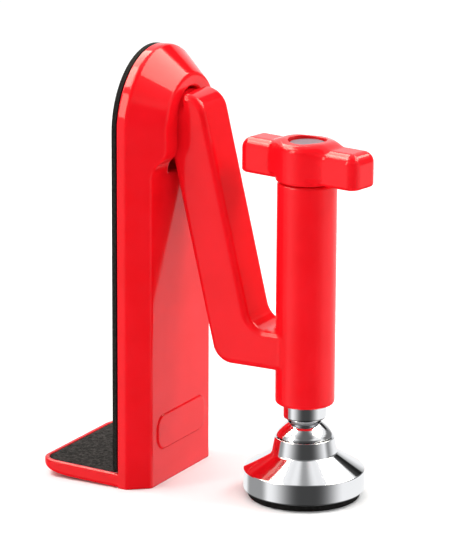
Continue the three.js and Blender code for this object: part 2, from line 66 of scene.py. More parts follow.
PLATE_BACK = 1.9
PLATE_HALF = 25.3
ARCH_Z = 120.4
EDGE_FRONT = 5.3
LOWER_FRONT = 11.9
HOOD_FRONT = 15.7
FLANK_SLOPE = 0.83
STEP_Z = (104.6, 116)
SLOT_HALF = 8.8
SLOT_BACK = 3.6
SLOT_BOTTOM = 105.5
SLOT_ARCH_Z = 124.1
PLAQUE_HALF = (16.2, 5.9)
PLAQUE_Z = 17.8
PLAQUE_FRONT = 12.4
TOE_TIP = -28.9
TOE_THICK = 4.9
TOE_RISE = math.radians(2)
TOE_CORNER = 6
TOE_MARGIN = 1.6
TOE_RAMP = (-20.5, 2.0)
PIVOT = (9.6, 121)
ARM_HALF = 8.5
ARM_LEAN = math.radians(13.6)
LEG_HALF = 7.7
KNUCKLE = (17.577, 124.2)
BAR_Z = (43.3, 56.3)
BARREL_R = 9.8
BARREL_Z = (31.7, 106.2)
KNOB_YAW = math.radians(-10)
WING_HALF = (23.45, 6.5)
WING_Z = (107.1, 118.7)
HUB_Z = (106.5, 119.6)
TUBE_R = 7.15
BALL_Z = 19
NECK_R = 4.4
SOCKET_R = 7.5
FOOT_R = 20


# ------------------------------------------------------------------ shaping by distance fields


def meet(a, b, radius=0.0):
    """What is inside both, with the edge between them rounded."""
    if radius == 0:
        return np.maximum(a, b)
    corner = np.hypot(np.maximum(a + radius, 0), np.maximum(b + radius, 0))
    return np.minimum(-radius, np.maximum(a, b)) + corner


def fuse(a, b, radius):
    """What is inside either, with a fillet between them."""
    corner = np.hypot(np.maximum(radius - a, 0), np.maximum(radius - b, 0))
    return np.maximum(radius, np.minimum(a, b)) - corner


def carve(a, b, radius=0.0):
    return meet(a, -b, radius)


def fillet_max(a, b, width):
    """The larger of two, blended over about width where they cross."""
    return (a + b + np.sqrt((a - b) ** 2 + (width / 8) ** 2)) / 2


def slab(value, low, high):
    return np.abs(value - (low + high) / 2) - (high - low) / 2


def rounded_box(u, v, half_u, half_v, corner):
    cu = np.abs(u) - (half_u - corner)
    cv = np.abs(v) - (half_v - corner)
    outside = np.hypot(np.maximum(cu, 0), np.maximum(cv, 0))
    return outside + np.minimum(np.maximum(cu, cv), 0) - corner


def tombstone(y, z, half, bottom, arch_z, corner=0.0):
    """Straight sides up to arch_z, then a half circle."""
    return meet(np.hypot(y, np.maximum(z - arch_z, 0)) - half, bottom - z, corner)


def ticks(*stretches):
    """Grid lines along one axis, from (start, end, step) stretches that follow on.

    The step is short where the surface bends tightly, and longer elsewhere.
    """
    lines = []
    for start, end, step in stretches:
        count = max(1, round((end - start) / step))
        lines.append(np.linspace(start, end, count + 1)[:-1])
    return np.concatenate([*lines, [stretches[-1][1]]])


SETTLING_STEPS = 4
LONGEST_MOVE = 0.2


def slope_of(field, points, reach=0.002):
    slopes = np.empty_like(points)
    for axis in range(3):
        ahead, behind = points.copy(), points.copy()
        ahead[:, axis] += reach
        behind[:, axis] -= reach
        slopes[:, axis] = (field(*ahead.T) - field(*behind.T)) / (2 * reach)
    return slopes


def skin(field, *grid):
    """Points, quads and normals of the surface where field is zero, on a grid that may be uneven."""
    values = field(*np.meshgrid(*grid, indexing="ij"))
    cells = tuple(len(lines) - 1 for lines in grid)
    points, corners, flips = [], [], []
    for axis in range(3):
        lower, upper = [slice(None)] * 3, [slice(None)] * 3
        lower[axis], upper[axis] = slice(None, -1), slice(1, None)
        near, far = values[tuple(lower)], values[tuple(upper)]
        edges = np.argwhere((near < 0) != (far < 0))
        start, end = near[tuple(edges.T)], far[tuple(edges.T)]
        crossing = np.stack([grid[d][edges[:, d]] for d in range(3)], 1)
        length = grid[axis][edges[:, axis] + 1] - crossing[:, axis]
        crossing[:, axis] += length * start / (start - end)
        first, second = (axis + 1) % 3, (axis + 2) % 3
        around = []
        for back_first, back_second in ((1, 1), (0, 1), (0, 0), (1, 0)):
            cell = edges.copy()
            cell[:, first] -= back_first
            cell[:, second] -= back_second
            around.append(np.ravel_multi_index(cell.T, cells))
        points.append(crossing)
        corners.append(np.stack(around, 1))
        flips.append(start > 0)
    points, corners, flips = map(np.concatenate, (points, corners, flips))
    used, place = np.unique(corners, return_inverse=True)
    place = place.reshape(corners.shape)
    count = np.bincount(place.ravel(), minlength=len(used))
    vertices = np.empty((len(used), 3))
    for axis in range(3):
        weights = np.repeat(points[:, axis], 4)
        vertices[:, axis] = np.bincount(place.ravel(), weights, len(used)) / count
    for _ in range(SETTLING_STEPS):
        slopes = slope_of(field, vertices)
        size = np.maximum((slopes**2).sum(1), 1e-6)
        move = slopes * (field(*vertices.T) / size)[:, None]
        vertices -= np.clip(move, -LONGEST_MOVE, LONGEST_MOVE)
    slopes = slope_of(field, vertices)
    normals = slopes / np.maximum(np.linalg.norm(slopes, axis=1), 1e-9)[:, None]
    place[flips] = place[flips][:, ::-1]
    return vertices, place, normals


# ------------------------------------------------------------------ shaping by turning and by outline


BEND_STEP = math.radians(15)


def rounded_path(corners, closed):
    """(u, v, rounding) corners as points with outward normals, with the outside on the right of the path."""
    path = []
    count = len(corners)
    for i, (u, v, rounding) in enumerate(corners):
        here = np.array([u, v], float)
        if not closed and i in (0, count - 1):
            other = np.array(corners[1 if i == 0 else -2][:2], float)
            along = other - here if i == 0 else here - other
            along /= np.linalg.norm(along)
            path.append((*here, along[1], -along[0]))
            continue
        before = here - np.array(corners[i - 1][:2], float)
        after = np.array(corners[(i + 1) % count][:2], float) - here
        before /= np.linalg.norm(before)
        after /= np.linalg.norm(after)
        turn = math.atan2(before[0] * after[1] - before[1] * after[0], before @ after)
        reach = rounding * abs(math.tan(turn / 2))
        side = math.copysign(1, turn)
        start = here - reach * before
        centre = start + side * rounding * np.array([-before[1], before[0]])
        steps = max(2, math.ceil(abs(turn) / BEND_STEP))
        for step in range(steps + 1):
            angle = turn * step / steps
            cos, sin = math.cos(angle), math.sin(angle)
            along = np.array([cos * before[0] - sin * before[1], sin * before[0] + cos * before[1]])
            normal = np.array([along[1], -along[0]])
            path.append((*(centre + side * rounding * normal), *normal))
    return path


FINE_SIDES = 96


def turned(corners, closed=False, sides=128):
    """A body of revolution about the jack's axis, from a profile in (radius, height, rounding)."""
    return spun(rounded_path(corners, closed), closed, sides)


def spun(path, closed, sides):
    points, normals, rings = [], [], []
    for radius, height, out, up in path:
        if radius < 1e-6:
            rings.append([len(points)] * sides)
            points.append((JACK_X, 0, height))
            normals.append((0, 0, math.copysign(1, up)))
            continue
        rings.append(list(range(len(points), len(points) + sides)))
        for i in range(sides):
            angle = 2 * math.pi * i / sides
            cos, sin = math.cos(angle), math.sin(angle)
            points.append((JACK_X + radius * cos, radius * sin, height))
            normals.append((out * cos, out * sin, up))
    faces = []
    pairs = list(zip(rings, rings[1:])) + ([(rings[-1], rings[0])] if closed else [])
    for ring, following in pairs:
        for i in range(sides):
            j = (i + 1) % sides
            face = [ring[i], ring[j], following[j], following[i]]
            faces.append(list(dict.fromkeys(face)))
    return np.array(points), faces, np.array(normals)


ARC_ROUND = 0.05
CURVE_ROUND = 0.4


def arc(radius, centre_z, start, end, steps):
    """Points of a round profile, which need no rounding of their own."""
    angles = np.radians(np.linspace(start, end, steps + 1))
    return [(radius * math.cos(a), centre_z + radius * math.sin(a), ARC_ROUND) for a in angles]


def curved(start, control, end, steps):
    """Points of a profile that bends from start to end, drawn towards control."""
    points = []
    for i in range(steps + 1):
        t = i / steps
        u, v = (
            (1 - t) ** 2 * a + 2 * t * (1 - t) * b + t * t * c
            for a, b, c in zip(start, control, end)
        )
        points.append((u, v, CURVE_ROUND))
    return points


# ------------------------------------------------------------------ pieces


def to_metres(points):
    moved = np.asarray(points, float) / 1000
    moved[:, 0] += DOOR_FACE_M
    return moved


def make(name, shape, body, slot, material, *nodes):
    points, faces, normals = shape
    faces = faces if isinstance(faces, list) else faces.tolist()
    mesh = bpy.data.meshes.new(name)
    mesh.from_pydata(to_metres(points).tolist(), [], faces)
    mesh.materials.append(material)
    mesh.polygons.foreach_set("use_smooth", [True] * len(mesh.polygons))
    mesh.normals_split_custom_set_from_vertices(np.asarray(normals).tolist())
    piece = bpy.data.objects.new(name, mesh)
    bpy.context.scene.collection.objects.link(piece)
    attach(piece, body)
    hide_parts(*nodes)
    return piece


# ------------------------------------------------------------------ materials


def surface_of(material):
    return material.node_tree.nodes["Principled BSDF"]


def shader(name, colour, roughness, metallic=0.0, ior=1.5):
    material = bpy.data.materials.new(name)
    material.use_nodes = True
    surface = surface_of(material)
    surface.inputs["Base Color"].default_value = (*colour, 1)
    surface.inputs["Roughness"].default_value = roughness
    surface.inputs["Metallic"].default_value = metallic
    surface.inputs["IOR"].default_value = ior
    return material


def node(material, kind, **values):
    made = material.node_tree.nodes.new(kind)
    for key, value in values.items():
        if key in made.inputs:
            made.inputs[key].default_value = value
        else:
            setattr(made, key, value)
    return made


def link(material, source, target):
    material.node_tree.links.new(source, target)


def grain(material, scale, detail=2.0, roughness=0.5, stretch=(1, 1, 1)):
    """Noise fixed to the piece, in cells per metre."""
    place = node(material, "ShaderNodeTexCoord")
    size = node(material, "ShaderNodeMapping")
    size.inputs["Scale"].default_value = stretch
    noise = node(material, "ShaderNodeTexNoise", Scale=scale, Detail=detail, Roughness=roughness)
    link(material, place.outputs["Object"], size.inputs["Vector"])
    link(material, size.outputs["Vector"], noise.inputs["Vector"])
    return noise.outputs["Fac"]


def spread(material, value, low, high, start=0.3, end=0.7):
    ramp = node(material, "ShaderNodeMapRange")
    ramp.inputs["From Min"].default_value = start
    ramp.inputs["From Max"].default_value = end
    ramp.inputs["To Min"].default_value = low
    ramp.inputs["To Max"].default_value = high
    link(material, value, ramp.inputs["Value"])
    return ramp.outputs["Result"]


def tint(material, value, dark, light, start=0.35, end=0.65):
    ramp = node(material, "ShaderNodeValToRGB")
    ramp.color_ramp.elements[0].position = start
    ramp.color_ramp.elements[0].color = (*dark, 1)
    ramp.color_ramp.elements[1].position = end
    ramp.color_ramp.elements[1].color = (*light, 1)
    link(material, value, ramp.inputs["Fac"])
    link(material, ramp.outputs["Color"], surface_of(material).inputs["Base Color"])


def bump(material, value, strength, distance):
    relief = node(material, "ShaderNodeBump", Strength=strength, Distance=distance)
    link(material, value, relief.inputs["Height"])
    link(material, relief.outputs["Normal"], surface_of(material).inputs["Normal"])


def uneven_gloss(material, value, low, high):
    """Roughness between low and high."""
    link(material, spread(material, value, low, high), surface_of(material).inputs["Roughness"])


def make_red():
    material = shader("red_enamel", (0.84, 0.006, 0.012), 0.09, ior=1.36)
    tint(material, grain(material, 60), (0.82, 0.005, 0.010), (0.86, 0.007, 0.014))
    uneven_gloss(material, grain(material, 220, 3), 0.07, 0.11)
    bump(material, grain(material, 420, 1), 0.02, 0.0001)
    return material


def make_foam():
    material = shader("black_foam", (0.012, 0.011, 0.010), 0.9, ior=1.2)
    tint(material, grain(material, 2400, 2), (0.006, 0.0055, 0.005), (0.022, 0.02, 0.018))
    bump(material, grain(material, 1800, 3), 0.5, 0.00015)
    return material


def make_grip():
    material = shader("coarse_grip", (0.05, 0.042, 0.042), 0.85, ior=1.25)
    specks = grain(material, 780, 4, 0.75)
    tint(material, specks, (0.006, 0.005, 0.005), (0.06, 0.05, 0.049), 0.44, 0.66)
    bump(material, grain(material, 900, 4, 0.75), 1.0, 0.0005)
    return material


def make_rubber():
    material = shader("sole_rubber", (0.010, 0.0095, 0.009), 0.7, ior=1.2)
    tint(material, grain(material, 700, 2), (0.007, 0.0065, 0.006), (0.014, 0.013, 0.0125))
    bump(material, grain(material, 2200, 2), 0.25, 0.0001)
    return material


def make_chrome():
    material = shader("chrome_plate", (0.86, 0.87, 0.89), 0.07, metallic=1.0)
    uneven_gloss(material, grain(material, 900, 2, 0.5, (1, 1, 8)), 0.04, 0.085)
    bump(material, grain(material, 500, 2, 0.5, (1, 1, 6)), 0.02, 0.0001)
    return material


def make_metal(name, dark, light, low, high, metallic=1.0):
    material = shader(name, light, (low + high) / 2, metallic=metallic)
    tint(material, grain(material, 500, 3), dark, light)
    uneven_gloss(material, grain(material, 1500, 2), low, high)
    bump(material, grain(material, 2500, 1), 0.1, 0.00005)
    return material


def make_plastic(name, dark, light, roughness, ior=1.5):
    material = shader(name, light, roughness, ior=ior)
    tint(material, grain(material, 800, 2), dark, light)
    bump(material, grain(material, 2500, 2), 0.12, 0.00006)
    return material


RED = make_red()
FOAM = make_foam()
GRIP = make_grip()
RUBBER = make_rubber()
CHROME = make_chrome()
BRIGHT_ZINC = make_metal("bright_zinc", (0.88, 0.88, 0.91), (0.95, 0.95, 0.97), 0.3, 0.4, 0.35)
STEEL = make_metal("bright_steel", (0.42, 0.43, 0.45), (0.58, 0.59, 0.61), 0.22, 0.38)
BRASS = make_metal("machined_brass", (0.55, 0.38, 0.14), (0.72, 0.52, 0.22), 0.2, 0.34)
NYLON = make_plastic("white_nylon", (0.68, 0.66, 0.60), (0.78, 0.76, 0.70), 0.45)
CAP = make_plastic("grey_cap", (0.21, 0.15, 0.17), (0.25, 0.18, 0.2), 0.5, 1.2)

FINISHES = {
    "red_paint": RED,
    "black_rubber": RUBBER,
    "grip_rubber": GRIP,
    "chrome": CHROME,
    "steel": STEEL,
    "brass": BRASS,
    "nylon": NYLON,
    "cap_plastic": CAP,
}
for part in frame["record"]["subparts"]:
    cad = frame["nodes"][part["node"]]
    cad.data.materials.clear()
    cad.data.materials.append(FINISHES[part["material_slot"]])


# ------------------------------------------------------------------ plate, hood and toe


STEP_PULL = (1.95, 1.05)
ROOT_STEPS = 6
FLANK_ROUND = 0.4
FRONT_ROUND = 0.7
BACK_ROUND = 0.4
PLAQUE_CORNER = 4.5
PLAQUE_ROUND = 0.3
PLAQUE_ROOT = 2
PLAQUE_FILLET = 0.15
TOE_TOP_ROUND = 0.55
TOE_UNDER_ROUND = 1.4
RAMP_BLEND = 4.0
TOE_OVERLAP = 2
FOOT_ROUND = 0.3
SLOT_CORNER = 0.8
SLOT_FLOOR_ROUND = 0.6
MOUTH_ROUND = 0.7
POCKET_DEPTH = 1.3
POCKET_OPEN = 5
POCKET_FLOOR_ROUND = 0.2
POCKET_EDGE_ROUND = 0.25
PIN_R = 2.8
PIN_END = 14.9
PIN_BEYOND = 16
PLUG_BORE_R = 3.4
SMALL_EDGE = 0.3
CORES_Z = ((12, 50), (54, 96))
CORE_HALF = 14
CORE_CORNER = 4
CORE_WALL = 3.4
CORE_FLOOR_ROUND = 0.5
SLOPE_STEP = 0.01


def toe_frame(x, z):
    """x and z as the toe sees them, before it is tipped up at the plate's back."""
    cos, sin = math.cos(TOE_RISE), math.sin(TOE_RISE)
    return PLATE_BACK + (x - PLATE_BACK) * cos - z * sin, (x - PLATE_BACK) * sin + z * cos


def toe_outline(along, y, margin):
    """The toe from above, which runs on without end towards the plate."""
    radius = TOE_CORNER - margin
    u = TOE_TIP + margin + radius - along
    v = np.abs(y) - (PLATE_HALF - margin - radius)
    return np.hypot(np.maximum(u, 0), np.maximum(v, 0)) + np.minimum(np.maximum(u, v), 0) - radius


def front_face(z):
    """x of the plate's front at height z: an S-shaped step from the lower plate up to the hood."""
    share = np.clip((z - STEP_Z[0]) / (STEP_Z[1] - STEP_Z[0]), 0, 1)
    t = share.copy()
    early, late = STEP_PULL
    for _ in range(ROOT_STEPS):
        value = early * t * (1 - t) ** 2 + late * t * t * (1 - t) + t**3 - share
        rate = early * (1 - t) * (1 - 3 * t) + late * t * (2 - 3 * t) + 3 * t * t
        t = np.clip(t - value / rate, 0, 1)
    return LOWER_FRONT + (HOOD_FRONT - LOWER_FRONT) * t * t * (3 - 2 * t)


def body_field(x, y, z):
    radial = np.hypot(y, np.maximum(z - ARCH_Z, 0))
    slant = math.hypot(1, FLANK_SLOPE)
    cone = (radial - PLATE_HALF + FLANK_SLOPE * (x - EDGE_FRONT)) / slant
    side = meet(radial - PLATE_HALF, cone, FLANK_ROUND)
    steepness = (front_face(z + SLOPE_STEP) - front_face(z - SLOPE_STEP)) / (2 * SLOPE_STEP)
    front = (x - front_face(z)) / np.hypot(1, steepness)
    plate = meet(meet(side, front, FRONT_ROUND), PLATE_BACK - x, BACK_ROUND)
    plaque = rounded_box(y, z - PLAQUE_Z, *PLAQUE_HALF, PLAQUE_CORNER)
    plaque = meet(meet(plaque, x - PLAQUE_FRONT, PLAQUE_ROUND), LOWER_FRONT - PLAQUE_ROOT - x)
    plate = fuse(plate, plaque, PLAQUE_FILLET)
    along, height = toe_frame(x, z)
    slope = TOE_RAMP[1] / (TOE_RAMP[0] - TOE_TIP)
    ramp = (slope * (TOE_RAMP[0] - along) - height) / math.hypot(1, slope)
    toe = meet(toe_outline(along, y, 0), height - TOE_THICK, TOE_TOP_ROUND)
    toe = meet(toe, fillet_max(-height, ramp, RAMP_BLEND), TOE_UNDER_ROUND)
    toe = meet(toe, x - PLATE_BACK - TOE_OVERLAP)
    shape = np.minimum(meet(plate, -z, FOOT_ROUND), meet(toe, -z))
    slot = tombstone(y, z, SLOT_HALF, SLOT_BOTTOM, SLOT_ARCH_Z, SLOT_CORNER)
    shape = carve(shape, meet(slot, SLOT_BACK - x, SLOT_FLOOR_ROUND), MOUTH_ROUND)
    pocket = slab(height, TOE_THICK - POCKET_DEPTH, TOE_THICK + POCKET_OPEN)
    pocket = meet(toe_outline(along, y, TOE_MARGIN), pocket, POCKET_FLOOR_ROUND)
    shape = carve(shape, meet(pocket, along), POCKET_EDGE_ROUND)
    across = np.hypot(x - PIVOT[0], z - PIVOT[1])
    bore = meet(across - PIN_R, slab(y, -PIN_END, PIN_BEYOND))
    plug = meet(across - PLUG_BORE_R, PIN_END - y)
    shape = carve(shape, np.minimum(bore, plug), SMALL_EDGE)
    for low, high in CORES_Z:
        core = rounded_box(y, z - (low + high) / 2, CORE_HALF, (high - low) / 2, CORE_CORNER)
        shape = carve(shape, meet(core, x - LOWER_FRONT + CORE_WALL, CORE_FLOOR_ROUND), SMALL_EDGE)
    return shape


BODY_GRID = (
    ticks((-29.6, 0.8, 0.55), (0.8, 10.8, 0.42), (10.8, 13.0, 0.2), (13.0, 16.6, 0.4)),
    ticks((-26.2, 26.2, 0.47)),
    ticks((-0.9, 6.0, 0.3), (6.0, 30.0, 0.5), (30, 98, 1.25), (98, 146.8, 0.43)),
)
make("brace_casting", skin(body_field, *BODY_GRID), "stand", "red_paint", RED, "body_casting")


# ------------------------------------------------------------------ pads


GRIT_WAVES = 14
GRIT_SCALE = 5
GOLDEN_TURN = 2.39996
GRIT_HEIGHT = 0.11
GRIP_GAP = 0.3
GRIP_THICK = 1.0
GRIP_EDGE = 0.2


def grit(x, y):
    """A fixed rough pattern, mostly between -1 and 1: waves that run every way, each a little bent."""
    total = 0
    for i in range(GRIT_WAVES):
        turn, size = GOLDEN_TURN * i, 1.15 + 0.37 * ((i * 7) % 11)
        course = np.cos(turn) * x + np.sin(turn) * y
        total = total + np.sin(size * course + 1.7 * i + 0.9 * np.sin(0.8 * y + i))
    return total / GRIT_SCALE


def grip_field(x, y, z):
    along, height = toe_frame(x, z)
    outline = meet(toe_outline(along, y, TOE_MARGIN + GRIP_GAP), along + GRIP_GAP, GRIP_GAP)
    floor = TOE_THICK - GRIP_THICK
    top = floor + GRIP_THICK + GRIT_HEIGHT * grit(x, y)
    return meet(outline, np.maximum(floor - height, height - top), GRIP_EDGE)


GRIP_GRID = (ticks((-28, 1.8, 0.36)), ticks((-24.2, 24.2, 0.36)), ticks((3.4, 6.9, 0.25)))
make("toe_grip", skin(grip_field, *GRIP_GRID), "stand", "grip_rubber", GRIP, "toe_grip_pad")


PAD_BOTTOM = 5.5
PAD_THICK = 1.6
PAD_EDGE = 0.12
PAD_INSET = 0.1
PAD_SIDE_POINTS = 94
PAD_SIDE_STEP = 1.2
PAD_ARCH_STEPS = 96
PAD_FOOT_POINTS = 43


def door_pad_outline(half):
    """(y, z, normal y, normal z) points round the pad."""
    right = [(half, PAD_BOTTOM + PAD_SIDE_STEP * (i + 1), 1.0, 0.0) for i in range(PAD_SIDE_POINTS)]
    arch = []
    for i in range(PAD_ARCH_STEPS + 1):
        angle = math.pi * i / PAD_ARCH_STEPS
        cos, sin = math.cos(angle), math.sin(angle)
        arch.append((half * cos, ARCH_Z + half * sin, cos, sin))
    left = [(-y, z, -ny, nz) for y, z, ny, nz in reversed(right)]
    inset = PAD_SIDE_STEP / 2
    foot = [(y, PAD_BOTTOM, 0.0, -1.0) for y in np.linspace(inset - half, half - inset, PAD_FOOT_POINTS)]
    return right + arch + left + foot


def door_pad_shape():
    """A sheet of foam cut to the plate's outline, with its edges rounded over."""
    outline = door_pad_outline(PLATE_HALF - PAD_INSET)
    points, normals, rings = [], [], []
    turns = [math.radians(a) for a in (-90, -60, -30, 0)]
    for start, bend in ((PAD_EDGE, turns), (PAD_THICK - PAD_EDGE, [-t for t in reversed(turns)])):
        for turn in bend:
            cos, sin = math.cos(turn), math.sin(turn)
            inward = PAD_EDGE * (1 - cos)
            rings.append(range(len(points), len(points) + len(outline)))
            for y, z, ny, nz in outline:
                points.append((start + PAD_EDGE * sin, y - ny * inward, z - nz * inward))
                normals.append((sin, ny * cos, nz * cos))
    faces = [list(reversed(rings[0])), list(rings[-1])]
    for ring, following in zip(rings, rings[1:]):
        for i in range(len(ring)):
            j = (i + 1) % len(ring)
            faces.append([ring[i], ring[j], following[j], following[i]])
    return np.array(points), faces, np.array(normals)


door_foam = make("door_foam", door_pad_shape(), "stand", "black_rubber", FOAM, "door_pad")


# ------------------------------------------------------------------ arm


HEEL_ROUND = 5.3
CROTCH_FILLET = 5.0
SHOULDER_RISE = 1.8
SHOULDER_CORNER = 3
LEG_EDGE = 2.2
ARM_ARCH_FROM = 112
ARM_ARCH_Z = 123.4
ARM_ARCH_R = 8.75
WELL_INSIDE = -5.0
SLOT_DEPTH_X = 17.0
ARCH_FILLET = 1.0
ARCH_EDGE = 0.5
LUG_R = 5.6
LUG_EDGE = 0.4
BARREL_EDGE = 1.1
BAR_FILLET = 0.6
TUBE_BORE_R = 7.45
TUBE_BORE_TOP = 94
TUBE_BORE_EDGE = 0.35
SCREW_BORE_R = 6.3
SCREW_BORE_FROM = 93
BUSH_BORE_R = 7.9
BUSH_BORE_FROM = 104
WASHER_BORE_R = 5.0
WASHER_FLOOR_Y = 7.3
WASHER_EDGE = 0.1
KEY_Z = 40
KEY_BORE_R = 1.8
KEY_BORE_FROM = 3
KEY_BORE_EDGE = 0.25


def arm_field(x, y, z):
    from_x, from_z = x - KNUCKLE[0], z - KNUCKLE[1]
    cos, sin = math.cos(ARM_LEAN), math.sin(ARM_LEAN)
    across = from_x * cos + from_z * sin
    up = from_z * cos - from_x * sin
    outer = meet(-across - LEG_HALF, BAR_Z[0] - z, HEEL_ROUND)
    inner = fuse(across - LEG_HALF, z - BAR_Z[1], CROTCH_FILLET)
    outline = np.maximum(outer, inner)
    outline = np.where(up > 0, np.maximum(outline, np.hypot(across, up) - LEG_HALF), outline)
    half_u, half_v = LEG_HALF / 2, LEG_HALF - SHOULDER_RISE
    shoulder = rounded_box(from_x + half_u, from_z - SHOULDER_RISE, half_u, half_v, SHOULDER_CORNER)
    outline = np.minimum(outline, shoulder)
    outline = meet(outline, x - JACK_X)
    leg = meet(outline, np.abs(y) - ARM_HALF, LEG_EDGE)
    arch = np.hypot(y, np.maximum(z - ARM_ARCH_Z, 0)) - ARM_ARCH_R
    arch = np.where(z > ARM_ARCH_FROM, arch, WELL_INSIDE)
    leg = meet(leg, fuse(arch, SLOT_DEPTH_X - x, ARCH_FILLET), ARCH_EDGE)
    from_pin = np.hypot(x - PIVOT[0], z - PIVOT[1])
    lug = meet(from_pin - LUG_R, np.abs(y) - ARM_HALF, LUG_EDGE)
    around = np.hypot(x - JACK_X, y)
    barrel = meet(around - BARREL_R, slab(z, *BARREL_Z), BARREL_EDGE)
    shape = fuse(np.minimum(leg, lug), barrel, BAR_FILLET)
    shape = carve(shape, meet(around - TUBE_BORE_R, z - TUBE_BORE_TOP), TUBE_BORE_EDGE)
    shape = carve(shape, meet(around - SCREW_BORE_R, SCREW_BORE_FROM - z))
    shape = carve(shape, meet(around - BUSH_BORE_R, BUSH_BORE_FROM - z), SMALL_EDGE)
    shape = carve(shape, from_pin - PIN_R)
    shape = carve(shape, meet(from_pin - WASHER_BORE_R, WASHER_FLOOR_Y - np.abs(y)), WASHER_EDGE)
    key = meet(np.hypot(x - JACK_X, z - KEY_Z) - KEY_BORE_R, KEY_BORE_FROM - y)
    return carve(shape, key, KEY_BORE_EDGE)


ARM_GRID = (
    ticks((3.0, 69.2, 0.5)),
    ticks((-10.6, 10.6, 0.42)),
    ticks((30.9, 42, 0.45), (42, 62, 0.45), (62, 92, 0.9), (92, 132.8, 0.43)),
)
make("hinged_arm", skin(arm_field, *ARM_GRID), "arm", "red_paint", RED, "arm_casting")


# ------------------------------------------------------------------ knob


WING_CORNER = 3.6
WING_TOP_ROUND = 3.7
WING_UNDER_ROUND = 1.2
HUB_R = 10.3
HUB_TOP_ROUND = 2.7
HUB_UNDER_ROUND = 0.8
HUB_FILLET = (0.35, 2.95)
HUB_FILLET_RISE = 2.2
CAP_BORE_R = 6.3
CAP_BORE_FLOOR = 117.5
CAP_BORE_ROUND = 0.2
SCREW_HEAD_R = 3.9
SCREW_HEAD_FLOOR = 114.9
SCREW_SHANK_R = 2.4
KNOB_WASHER_R = 7.8
KNOB_WASHER_TOP = 107.6
DRIVE_HALF = 3.2
DRIVE_TOP = 113.2


def knob_field(x, y, z):
    cos, sin = math.cos(KNOB_YAW), math.sin(KNOB_YAW)
    u = (x - JACK_X) * cos + y * sin
    v = y * cos - (x - JACK_X) * sin
    wings = rounded_box(u, v, *WING_HALF, WING_CORNER)
    wings = meet(meet(wings, z - WING_Z[1], WING_TOP_ROUND), WING_Z[0] - z, WING_UNDER_ROUND)
    around = np.hypot(u, v)
    hub = meet(meet(around - HUB_R, z - HUB_Z[1], HUB_TOP_ROUND), HUB_Z[0] - z, HUB_UNDER_ROUND)
    share = np.clip((z - WING_Z[0]) / HUB_FILLET_RISE, 0, 1)
    shape = fuse(wings, hub, HUB_FILLET[0] + (HUB_FILLET[1] - HUB_FILLET[0]) * share)
    shape = carve(shape, meet(around - CAP_BORE_R, CAP_BORE_FLOOR - z, CAP_BORE_ROUND), SMALL_EDGE)
    shape = carve(shape, meet(around - SCREW_HEAD_R, SCREW_HEAD_FLOOR - z))
    shape = carve(shape, around - SCREW_SHANK_R)
    shape = carve(shape, meet(around - KNOB_WASHER_R, z - KNOB_WASHER_TOP))
    square = np.maximum(np.abs(u), np.abs(v)) - DRIVE_HALF
    return carve(shape, meet(square, z - DRIVE_TOP))


KNOB_GRID = (
    ticks((JACK_X - 24.6, JACK_X + 24.6, 0.36)),
    ticks((-11.6, 11.6, 0.36)),
    ticks((105.8, 120.3, 0.33)),
)
make("wing_knob", skin(knob_field, *KNOB_GRID), "knob", "red_paint", RED, "knob")

CAP_R = 6
CAP_Z = (117.8, 118.9)
disc = [(0, CAP_Z[0], 0), (CAP_R, CAP_Z[0], 0.1), (CAP_R, CAP_Z[1], 0.3), (0, CAP_Z[1], 0)]
make("knob_disc", turned(disc, sides=FINE_SIDES), "knob", "cap_plastic", CAP, "knob_cap")


# ------------------------------------------------------------------ jack and foot


TUBE_Z = (26.7, 75)
TUBE_EDGE = 0.6
TUBE_SCREW_R = 3.3
TUBE_SCREW_EDGE = 0.2
TUBE_CLIP_R = 5.2
TUBE_CLIP_FROM = 32
NUT_R = 6.2
NUT_FROM = 65
KEYWAY_Z = 49.75
KEYWAY_HALF = (1.8, 14.75)
KEYWAY_CORNER = 1.7
KEYWAY_FLOOR = 5.9
KEYWAY_EDGE = 0.2


def tube_field(x, y, z):
    around = np.hypot(x - JACK_X, y)
    shape = meet(around - TUBE_R, slab(z, *TUBE_Z), TUBE_EDGE)
    shape = carve(shape, around - TUBE_SCREW_R, TUBE_SCREW_EDGE)
    shape = carve(shape, meet(around - TUBE_CLIP_R, TUBE_CLIP_FROM - z))
    shape = carve(shape, meet(around - NUT_R, NUT_FROM - z))
    keyway = rounded_box(x - JACK_X, z - KEYWAY_Z, *KEYWAY_HALF, KEYWAY_CORNER)
    return carve(shape, meet(keyway, KEYWAY_FLOOR - y), KEYWAY_EDGE)


TUBE_GRID = (
    ticks((JACK_X - 7.9, JACK_X + 7.9, 0.42)),
    ticks((-7.9, 7.9, 0.42)),
    ticks((26, 30.5, 0.35), (30.5, 75.6, 0.7)),
)
make("inner_tube", skin(tube_field, *TUBE_GRID), "jack", "chrome", CHROME, "jack_tube")

BALL_R = 6
NECK_TOP = 26.4
STUD_R = 3
STUD_TOP = 31.3
ball = arc(BALL_R, BALL_Z, -90, math.degrees(math.acos(NECK_R / BALL_R)), 14)
neck = [(NECK_R, NECK_TOP, 0.3), (STUD_R, NECK_TOP, 0.1), (STUD_R, STUD_TOP, 0.2), (0, STUD_TOP, 0)]
make("ball_neck", turned([*ball, *neck], sides=FINE_SIDES), "jack", "chrome", BRIGHT_ZINC, "ball_stud")

LINER_R = (6.3, 7.2)
LINER_TOP = 41
liner = [*arc(LINER_R[1], BALL_Z, -90, LINER_TOP, 14), *arc(LINER_R[0], BALL_Z, LINER_TOP, -90, 14)]
make("ball_liner", turned(liner, sides=FINE_SIDES), "liner", "nylon", NYLON, "ball_seat")

